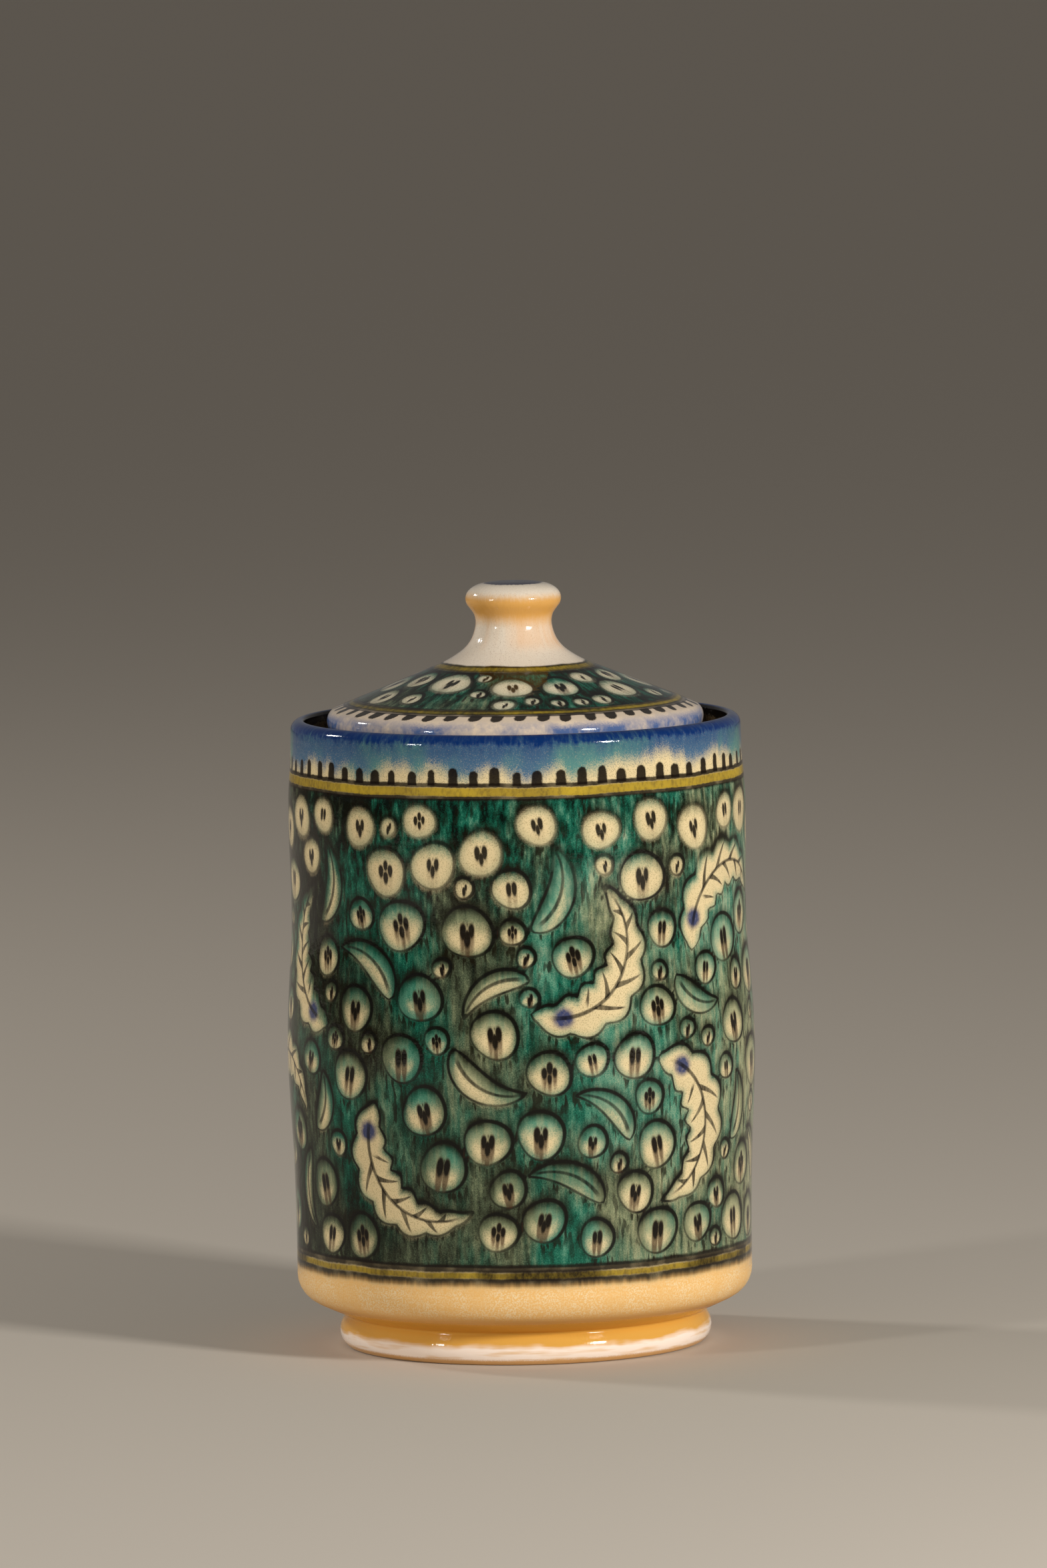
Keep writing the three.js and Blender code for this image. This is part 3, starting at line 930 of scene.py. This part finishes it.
class BrushedGlaze(GroundGlaze):
    """The motifs in the green, over the numbers stored on a piece's points."""

    def motifs(self, ground, depth):
        """The green round the motifs, darker over their upper edges; cream inside them, with a thinner
        green soaking in from above and a pale fringe below; short upright strokes in the green; then the
        drawn outlines and the seeds."""
        edge, soaked, facing = self.split(self.stored("outline"))
        wash, tilt, spread = self.split(self.stored("dot_looks"))
        shade, dot_edge, _ = self.split(self.stored("apart"))
        upper = facing * 0.5 + 0.5
        inside = edge.rise(0.5, -0.4)
        thin = depth * 0.55 - 0.1 + edge.rise(-3.0, -0.2) * upper * 0.16 + soaked.rise(0.0, 2.6) * 0.14
        colour = self.mix(inside, self.green_wash(depth), self.green_wash(thin))
        shade = shade.least(1.0) * (0.78 + (self.pool - 0.4) * 2.0 + self.streak.swing(1.4))
        colour = self.mix(shade.least(0.92), colour, SHADE)
        free = (soaked + self.mottle.swing(0.9) + self.grain.swing(0.8)).rise(1.1, -1.1)
        fringe = (0.12 + self.streak * 0.55) * (1.0 - inside)
        free = free * (fringe + inside * (1.0 - edge.rise(-2.8, 0.0) * 0.35))
        colour = self.mix(free, colour, ground)
        columns = self.clouds(0.26, 0.85, detail=1).rise(0.52, 0.62)
        below = (1.0 - upper) * edge.rise(STROKE_REACH, 1.0)
        strokes = columns * edge.rise(0.1, 0.8) * (0.28 + below * 0.5 + (self.pool - 0.45) * 1.8)
        colour = self.mix(strokes.least(0.85), colour, SHADE)
        across, up, size = self.split(self.stored("dot"))
        right = (across / size).least(1.0) * dot_edge.rise(1.2, 0.5)
        weight = 0.78 + upper * 0.3 + right * 0.2 + self.pool.swing(1.0)
        weight = weight * (0.4 + wash.rise(0.05, 0.4) * 0.6)
        line = (edge.abs() - upper * UPPER_SWELL - right * RIGHT_SWELL).rise(LINE_HALF, 0.1)
        colour = self.mix(line * weight.most(0.25).least(0.97), colour, OUTLINE)
        within = dot_edge.rise(0.4, -0.5)
        seed, ran = self.seeds(across, up, size, tilt, spread)
        ran = ran * within * wash * (self.streak * 2.0 + 0.1)
        colour = self.mix(ran.least(0.8), colour, SEED_RUN)
        return self.mix(seed * within * 0.96, colour, SEED)

    def seeds(self, across, up, size, tilt, spread):
        """Up to four almond dabs in a close cluster, an ellipse each, drawn out downwards; and the brown
        that ran from them, the same ellipses drawn out further."""
        sizes = self.split(self.stored("seeds", "Color")) + [self.stored("seeds", "Alpha")]
        place = self.node("ShaderNodeCombineXYZ", {"X": across, "Y": up})
        turn = {"Vector": place, "Angle": tilt}
        x, y, _ = self.split(self.node("ShaderNodeVectorRotate", turn, rotation_type="Z_AXIS"))
        scale = FULL_DOT / size.most(LEAST_DOT)
        dabs = runs = None
        for (place_x, place_y), dab in zip(SEED_PLACES, sizes):
            off_x = (x * scale - spread * place_x) / SEED_HALF_WIDTH
            off_y = (y * scale - place_y) / (2.0 - spread * 0.6)
            gap = self.length(off_x, off_y.most(off_y * -0.7)) - dab
            run = self.length(off_x, off_y.most(off_y * -0.3)) - dab
            dabs = gap if dabs is None else dabs.least(gap)
            runs = run if runs is None else runs.least(run)
        return (dabs + self.grain.swing(0.5)).rise(0.42, -0.2), runs.rise(0.75, -0.4)


# %% Border dashes and gloss
GLAZE_IOR = 1.5
GLAZE_SPECULAR = 0.2
FLOW_STRENGTH = 0.3
FLOW_HEIGHT = 0.0002  # metres between the glaze's hollows and its crests


class PaintedGlaze(BrushedGlaze):
    """All that the jar and the lid share, with their border lines, their dashes and their gloss."""

    def lines(self, colour, run, bands, strength, tint, cover=0.95):
        """Lines painted round the piece, one for each band of a lower place, an upper place and the width
        of its soft edges, none covering more than cover."""
        for band in bands:
            colour = self.mix((run.between(*band) * strength).least(cover), colour, tint)
        return colour

    def dashes(self, count, round_at, foot, tall, wide, slant):
        """Border dashes: a straight-sided dab with a round end for each of count equal steps round the
        piece. foot is the distance along the wall from the line that they stand on, and each dab's place,
        width and height stray a little."""
        steps = self.split(self.node("ShaderNodeUVMap", (), "UV", uv_map="OFBake"))[0] * count
        number = self.math("FLOOR", steps)
        stray = self.node("ShaderNodeTexWhiteNoise", {"W": number}, "Color", noise_dimensions="1D")
        place, width, height = self.split(stray)
        pitch = TURN * round_at / count
        across = (steps - number - 0.5 + place.swing(0.16)) * pitch + foot * slant
        half = wide / 2 * (0.8 + width * 0.4 - foot * 0.03)
        end = tall * (0.8 + height * 0.3) - half
        gap = self.length(across, (foot - end).most(0.0)) - half
        gap = gap + self.grain.swing(0.4) + self.mottle.swing(0.7)
        return gap.rise(0.3, -0.2) * foot.rise(-0.4, 0.0)

    def finish_with(self, colour, roughness):
        """Connects the layers: colour, gloss, and the faint unevenness of a glaze that flowed."""
        self.feed(self.shader.inputs["Base Color"], colour)
        self.feed(self.shader.inputs["Roughness"], roughness)
        height = self.clouds(1, 0.5) + self.grain * 0.06
        flow = {"Strength": FLOW_STRENGTH, "Distance": FLOW_HEIGHT, "Height": height}
        self.feed(self.shader.inputs["Normal"], self.node("ShaderNodeBump", flow))
        self.shader.inputs["IOR"].default_value = GLAZE_IOR
        self.shader.inputs["Specular IOR Level"].default_value = GLAZE_SPECULAR


# %% [markdown]
# ## The jar's glaze
#
# On the jar the layers go from the ground up: cream, the cobalt that was brushed on the lip and ran down
# the collar, the green field with its motifs, the two ochre border lines between dark ones, and the row
# of dashes. Below the field the clay shows through a clear honey glaze, with a band of white slip on the
# foot.

# %% The jar's field
# A rise is the height where something sets in and the height where it is full; a band is its lower and
# upper height and the width of its soft edges. All are in mm above the table.
UNDER_COLLAR_RISE = (105.0, 140.0)
MIDDLE_BAND = (70.0, 105.0, 30.0)
NEAR_FOOT_RISE = (75.0, 40.0)
# makes the field darker towards the left and paler towards the right
LEAN = -0.27  # change in the green's thickness from the middle to the far right
TOUCH_PLACE = 8.5  # mm from a leaf's stem to the middle of its cobalt touch
TOUCH_SIZE = 3.2  # mm


class JarField(PaintedGlaze):
    """The painted field of the jar."""

    def field(self, colour):
        """The green field between the borders, with dots and leaves in it. The green is darker towards the
        left and paler towards the right, thicker under the collar, thinnest at half height, where its
        copper shows most, and browner towards the foot."""
        under_collar = self.run.rise(*UNDER_COLLAR_RISE)
        middle = self.run.between(*MIDDLE_BAND)
        near_foot = self.run.rise(*NEAR_FOOT_RISE)
        self.copper = self.copper + middle * 0.05 + 0.02 - near_foot * 0.06
        leaning = self.split(self.wrap)[0] * (LEAN / JAR_REACH)
        thickness = 0.5 + leaning + under_collar * 0.1 - middle * 0.05
        painted = self.motifs(colour, self.green_depth(thickness, 0.65 + under_collar * 0.95))
        painted = self.leaf_marks(painted)
        return self.mix((self.run + self.waver * 0.5).between(FIELD_LOW, FIELD_HIGH, 0.5), colour, painted)

    def leaf_marks(self, colour):
        """A midrib, a slanting vein towards each lobe that thins out on its way, and a cobalt touch near
        the stem of the large leaves."""
        along, aside, half_width = self.split(self.stored("leaf"))
        lobe, length, _ = self.split(self.stored("leaf_looks"))
        gap = self.split(self.stored("apart"))[2]
        inside = gap.rise(0.0, -0.7)
        large = lobe.rise(0.05, 0.12) * inside
        share = along / length.most(1.0)
        rib = (aside.abs() + share * 0.3).rise(0.85, 0.35) * share.between(0.16, 0.86, 0.1)
        outer = aside.rise(-0.1, 0.1) * 0.5
        step = share * LOBES - outer - aside.abs() * 0.12 + 0.25
        place = self.math("PINGPONG", step, 0.5) * (length / LOBES)
        thin = aside.abs() / half_width.most(0.5)
        vein = (place - (0.85 - thin) * 1.2).rise(0.35, -0.1) * thin.rise(0.9, 0.65)
        vein = vein * share.between(0.3, 0.85, 0.03)
        touch = (self.length(along - TOUCH_PLACE, aside) / TOUCH_SIZE).rise(1.2, 0.4)
        colour = self.mix((touch * large * (0.5 + self.mottle)).least(0.92), colour, COBALT)
        colour = self.mix(rib * inside * (0.5 + self.streak * 0.6), colour, SEED)
        return self.mix(vein * large * (0.4 + self.streak * 0.8), colour, SEED)


# %% Colours and heights of the jar's bands
DARK_LINES = [(155.6, 156.3, 0.5), (152.4, 152.9, 0.9), (26.9, 28.2, 0.9), (23.2, 24.4, 1.5)]
OCHRE_LINES = [(153.4, 155.1, 0.5), (25.2, 26.1, 0.6)]
BROKEN_LINES = [(24.6, 26.8, 0.8)]
DASH_FOOT = 156.0
DASH_COUNT = 66
WASH_RISE = (156.8, 163.0)
DEEP_WASH_RISE = (160.5, 168.0)
LIP_RISE = (165.9, 167.6)
CLAY_RISE = (24.2, 21.2)
SANDY_BAND = (15.0, 20.5, 3.0)
HONEY_RISE = (15.5, 10.5)
LIT_FOOT_HONEY_RISE = (9.0, 6.5)
SLIP_BAND = (1.7, 4.0, 1.8)
FOOT_EDGE_RISE = (1.9, 1.0)
BARE_RISE = (0.4, 0.2)
BUFF = paint("efbc72")
BUFF_SPECK = paint("f4dcb0")
HONEY = paint("d6973a")
# honey on the foot, painted paler than the groove's: partly painted light where the heel shades the foot
LIT_FOOT_HONEY = paint("dda54a")
SLIP = paint("fcead8")
FOOT_EDGE = paint("cf9f66")
BARE_CLAY = paint("c49a64")
# inside of the rim: a dark glaze, painted near black as painted shade for the deep gap round the lid
RIM_GLAZE_AND_SHADE = paint("14100c")
LINING = paint("c9a873")

# %% The jar's bands
class JarGlaze(JarField):
    """The jar from its lip to its foot."""

    def collar(self, colour):
        """Cobalt brushed on the lip that ran down the collar in a soft wash with a wandering lower edge,
        turquoise in patches."""
        ragged = self.shore * 22.0 + self.streak.swing(2.5) + self.grain.swing(2.5)
        depth = (self.run + ragged).rise(*WASH_RISE)
        tint = self.mix(self.patch.rise(0.42, 0.58), COBALT_WASH, TURQUOISE)
        colour = self.mix((depth * (0.6 + self.grain * 0.8)).least(0.97), colour, tint)
        deep = (self.run + ragged * 0.2).rise(*DEEP_WASH_RISE) * (self.mottle + self.streak * 0.7 - 0.35)
        colour = self.mix(deep.least(0.9), colour, COBALT)
        uneven = self.waver * 0.3 + self.shore * 1.6 + self.mottle.swing(2.4)
        lip = (self.run + uneven).rise(*LIP_RISE) * (0.4 + self.mottle + self.streak.swing(0.8))
        return self.mix(lip.least(0.96), colour, COBALT)

    def borders(self, colour):
        """Ochre lines edged in dark brown at the top and the bottom of the field."""
        run = self.run + self.waver * 0.5 + self.shore * 0.8 + self.streak.swing(0.5)
        colour = self.lines(colour, run, DARK_LINES, 0.5 + self.pool * 0.9, BORDER_BROWN)
        thin = self.patch.rise(0.66, 0.36) * 0.5 + self.mottle.rise(0.42, 0.68) * 0.4
        ochre = self.mix(thin, OCHRE, OCHRE_THIN)
        colour = self.lines(colour, run, OCHRE_LINES, 0.95, ochre)
        broken = (self.patch + self.shore * 0.4).rise(0.44, 0.56) * (0.55 + self.mottle * 0.6)
        colour = self.lines(colour, run, BROKEN_LINES, broken, BORDER_BROWN, cover=1.0)
        foot = self.run + self.waver * 0.5 - DASH_FOOT
        dashes = self.dashes(DASH_COUNT, JAR_REACH, foot, tall=4.3, wide=2.7, slant=0.0)
        return self.mix(dashes * 0.97, colour, BORDER_BROWN)

    def heel(self, colour):
        """Buff clay under clear glaze: fine pale sand on the heel, honey in the groove, a paler honey
        lower down that is partly painted light lifting the foot out of the heel's shadow, and slip on the
        foot."""
        uneven = self.waver * 0.6 + self.shore * 1.5 + self.streak.swing(1.5)
        below = (self.run + uneven).rise(*CLAY_RISE)
        sandy = self.run.between(*SANDY_BAND) * (0.6 + self.pool.swing(1.6))
        sand = self.clouds(1, 2.4, 2, 0.6).rise(0.44, 0.6) * sandy.most(0.0)
        clay = self.mix(sand.least(0.7), BUFF, BUFF_SPECK)
        clay = self.mix(self.run.rise(*HONEY_RISE), clay, HONEY)
        clay = self.mix(self.run.rise(*LIT_FOOT_HONEY_RISE), clay, LIT_FOOT_HONEY)
        brush = self.noise(self.stretched(self.wrap, (0.12, 0.12, 1.3)), 0.6, 2, 0.5)
        slip = (self.run + self.shore * 3.0 + brush.swing(3.0)).between(*SLIP_BAND)
        clay = self.mix(slip * (brush * 2.5 - 0.25), clay, SLIP)
        clay = self.mix((self.run + self.grain.swing(0.6)).rise(*FOOT_EDGE_RISE), clay, FOOT_EDGE)
        clay = self.mix(self.run.rise(*BARE_RISE), clay, BARE_CLAY)
        return self.mix(below, colour, clay)


# %% Jar material
LEDGE_BAND = (161.4, 162.2, 0.5)
RIM_GLAZE_AND_SHADE_RISE = (162.6, 163.4)
MATT_BAND = (13.0, 19.0, 3.0)
POLISH = 0.05  # roughness of the glaze at its smoothest


def jar_material():
    """The jar's layers in order. Inside, the ledge was wiped bare so that the lid wouldn't stick to it,
    and a dark glaze stops just above, painted near black as painted shade for the deep gap round the lid."""
    glaze = JarGlaze("painted_jar_glaze")
    colour = glaze.collar(glaze.cream_ground(CREAM))
    colour = glaze.field(colour)
    colour = glaze.borders(colour)
    colour = glaze.heel(colour)
    within = glaze.stored("inside", "Fac")
    lining = glaze.mix(glaze.run.between(*LEDGE_BAND), LINING, BARE_CLAY)
    # above the ledge the rim's inside turns near black: dark glaze that is partly painted shade for the
    # gap round the lid
    ragged = glaze.run + glaze.mottle.swing(1.2)
    lining = glaze.mix(ragged.rise(*RIM_GLAZE_AND_SHADE_RISE), lining, RIM_GLAZE_AND_SHADE)
    colour = glaze.mix(within, colour, lining)
    matt = glaze.run.between(*MATT_BAND) * 0.3
    glaze.finish_with(colour, POLISH + matt + glaze.grain * 0.06)
    return glaze.material


def coat(piece, material):
    """Puts a finished material on a piece."""
    piece.data.materials.append(material)
    print(material.name, "has", len(material.node_tree.nodes), "nodes")


coat(jar, jar_material())

# %% [markdown]
# ## The lid's glaze
#
# The lid repeats the jar's order from its edge inwards: blue washed edge, white border with hanging
# dashes, an ochre line, the green field with dots, and a second line round the knob. The knob itself is
# white slip with iron specks, honey coloured round the head, with a cobalt spot brushed on top.

# %% Colours and places on the lid
# Lines and edges are in mm up the surface from the lid's widest point, the rest in mm above the table.
LID_OCHRE_LINES = [(8.0, 10.0, 0.6), (32.8, 35.6, 0.6)]
LID_DARK_LINES = [(6.8, 8.0, 0.5), (9.9, 10.5, 0.9), (31.6, 32.6, 1.5), (35.4, 36.2, 0.6)]
LID_DASH_COUNT = 47
LID_DASH_RADIUS = 47.5
LID_DASH_FOOT = 6.9
EDGE_RISE = (8.4, 7.4)
EDGE_WASH_RISE = (4.2, 1.0)
KNOB_RISE = (35.7, 36.5)
SPECK_BAND = (188.0, 200.0, 6.0)
BLUSH_BAND = (190.0, 197.0, 4.0)
HEAD_RISE, HEAD_FALL = (192.5, 197.5), (203.2, 200.2)
TOP_RISE = (202.0, 203.0)
SPOT_RISE = (8.3, 7.5)  # mm from the axis
LID_CREAM = paint("e6d9b8")
LID_OLIVE = paint("4d4418")
KNOB_WHITE = paint("e6d7c1")
KNOB_SPECK = paint("94693f")
KNOB_BLUSH = paint("e0b183")
KNOB_HONEY = paint("dba04c")
KNOB_SPOT = paint("0d1238")
EDGE_WHITE = paint("dfc9ae")
EDGE_BLUE = paint("1e5490")

# %% Lid glaze
class LidGlaze(PaintedGlaze):
    """The lid from its edge to its knob."""

    def field(self, colour):
        """The green field between the border and the knob, with dots in it."""
        self.copper = self.copper + 0.08
        painted = self.motifs(colour, self.green_depth(0.62, 1.3))
        return self.mix((self.run + self.waver * 0.3).between(*LID_FIELD, 0.5), colour, painted)

    def borders(self, colour):
        """Dark lines with ochre between them at both edges of the field, and dashes hanging from the
        outer one."""
        run = self.run + self.waver * 0.3 + self.shore * 0.6 + self.streak.swing(0.5)
        dull = 0.45 + self.patch.rise(0.7, 0.35) * 0.4 + self.mottle.swing(1.2)
        ochre = self.mix(dull, OCHRE, LID_OLIVE)
        colour = self.lines(colour, run, LID_OCHRE_LINES, 1.0, ochre, cover=1.0)
        colour = self.lines(colour, run, LID_DARK_LINES, 0.4 + self.pool * 0.9, BORDER_BROWN)
        foot = LID_DASH_FOOT - self.run - self.waver * 0.3
        dashes = self.dashes(LID_DASH_COUNT, LID_DASH_RADIUS, foot, tall=3.4, wide=3.5, slant=0.22)
        return self.mix(dashes * 0.97, colour, BORDER_BROWN)

    def edge(self, colour):
        """White slip border, washed blue round the edge in patches."""
        white = self.mix((self.run + self.waver * 0.3).rise(*EDGE_RISE), colour, EDGE_WHITE)
        ragged = self.shore * 10.0 + self.mottle.swing(2.5) + self.grain.swing(1.5)
        blue = (self.run + ragged).rise(*EDGE_WASH_RISE) * (self.mottle * 1.1 + self.shore * 4.0 + 0.1)
        return self.mix(blue.least(0.9), white, EDGE_BLUE)

    def knob(self, colour):
        """White slip with iron specks and a warm blush on the neck; honey glaze pooled round the head; a
        cobalt spot on top."""
        x, y, z = (part / MM for part in self.split(self.node("ShaderNodeTexCoord", (), "Object")))
        specks = self.grain.rise(0.58, 0.72) * (0.25 + z.between(*SPECK_BAND) * 0.35)
        white = self.mix(specks, KNOB_WHITE, KNOB_SPECK)
        stray = self.waver * 0.6 + self.mottle.swing(1.6)
        blush = (z + stray).between(*BLUSH_BAND) * (self.shore * 2.0 + 0.25 + x * 0.02)
        white = self.mix(blush, white, KNOB_BLUSH)
        honey = (z + stray).rise(*HEAD_RISE) * (z + stray).rise(*HEAD_FALL)
        white = self.mix(honey * 0.95, white, KNOB_HONEY)
        spot = (self.length(x, y) + self.streak.swing(2.0)).rise(*SPOT_RISE) * z.rise(*TOP_RISE)
        white = self.mix(spot * 0.95, white, KNOB_SPOT)
        knob = (self.run + self.waver * 0.3 + self.shore * 1.6).rise(*KNOB_RISE)
        return self.mix(knob, colour, white)


# %% Lid material
def lid_material():
    """The lid's layers in order, and the same lining as the jar's underneath."""
    glaze = LidGlaze("painted_lid_glaze")
    colour = glaze.edge(glaze.cream_ground(LID_CREAM))
    colour = glaze.field(colour)
    colour = glaze.borders(colour)
    colour = glaze.knob(colour)
    colour = glaze.mix(glaze.stored("inside", "Fac"), colour, LINING)
    glaze.finish_with(colour, POLISH + glaze.grain * 0.06)
    return glaze.material


coat(lid, lid_material())

# %% [markdown]
# ## Fixing the pieces to the model
#
# Each painted surface stands for the plain measured solid of the same piece and moves with its body: the
# jar stays on the table and the lid lifts.

# %% Ride with the bodies
for piece, node, body, finish in ((jar, "jar_body", "jar", "jar_glaze"), (lid, "lid", "lid", "lid_glaze")):
    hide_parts(node)
    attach(piece, body)
